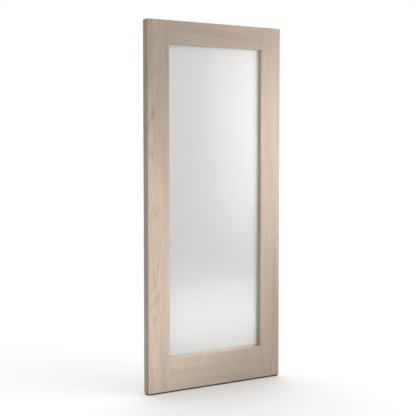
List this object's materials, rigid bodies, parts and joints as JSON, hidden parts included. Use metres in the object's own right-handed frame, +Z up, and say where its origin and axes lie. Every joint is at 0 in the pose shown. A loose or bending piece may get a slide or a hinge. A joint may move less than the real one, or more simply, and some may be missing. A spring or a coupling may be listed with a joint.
{
  "type": "glazed interior door leaf",
  "caption": "Oak stile-and-rail door leaf with one tall satin glass pane, square front opening and mitred glazing beads at the back.",
  "frame": {"origin": "centre of the hinge edge: half way up the leaf, half way through its thickness, on the flat outer face of the hinge stile", "axes": "+X from the hinge edge across the leaf to the lock edge, +Y through the leaf from the square-edged front to the beaded back, +Z up"},
  "size_m": [0.914, 0.057, 2.134],
  "materials": {
    "oak_veneer": "sawn oak veneer, limed grey-beige stain under a dead matt lacquer",
    "oak_band": "solid oak strip, limed grey-beige stain under a dead matt lacquer",
    "oak_bead": "solid oak bead, limed grey-beige stain, pinned and filled",
    "timber_core": "laminated softwood, sealed end grain",
    "satin_glass": "toughened glass, acid etched to a fine satin on its front face",
    "glazing_tape": "closed-cell foam tape, off-white"
  },
  "bodies": {
    "root": {"hinge_stile_core": "timber_core", "hinge_stile_outer_band": "oak_band", "hinge_stile_inner_band": "oak_band", "hinge_stile_front_veneer": "oak_veneer", "hinge_stile_back_veneer": "oak_veneer", "lock_stile_core": "timber_core", "lock_stile_outer_band": "oak_band", "lock_stile_inner_band": "oak_band", "lock_stile_front_veneer": "oak_veneer", "lock_stile_back_veneer": "oak_veneer", "top_rail_core": "timber_core", "top_rail_outer_band": "oak_band", "top_rail_inner_band": "oak_band", "top_rail_front_veneer": "oak_veneer", "top_rail_back_veneer": "oak_veneer", "bottom_rail_core": "timber_core", "bottom_rail_outer_band": "oak_band", "bottom_rail_inner_band": "oak_band", "bottom_rail_front_veneer": "oak_veneer", "bottom_rail_back_veneer": "oak_veneer", "glass_pane": "satin_glass", "front_tape_top": "glazing_tape", "front_tape_bottom": "glazing_tape", "front_tape_hinge_side": "glazing_tape", "front_tape_lock_side": "glazing_tape", "back_tape_top": "glazing_tape", "back_tape_bottom": "glazing_tape", "back_tape_hinge_side": "glazing_tape", "back_tape_lock_side": "glazing_tape", "top_bead": "oak_bead", "bottom_bead": "oak_bead", "hinge_side_bead": "oak_bead", "lock_side_bead": "oak_bead"}
  },
  "joints": []
}
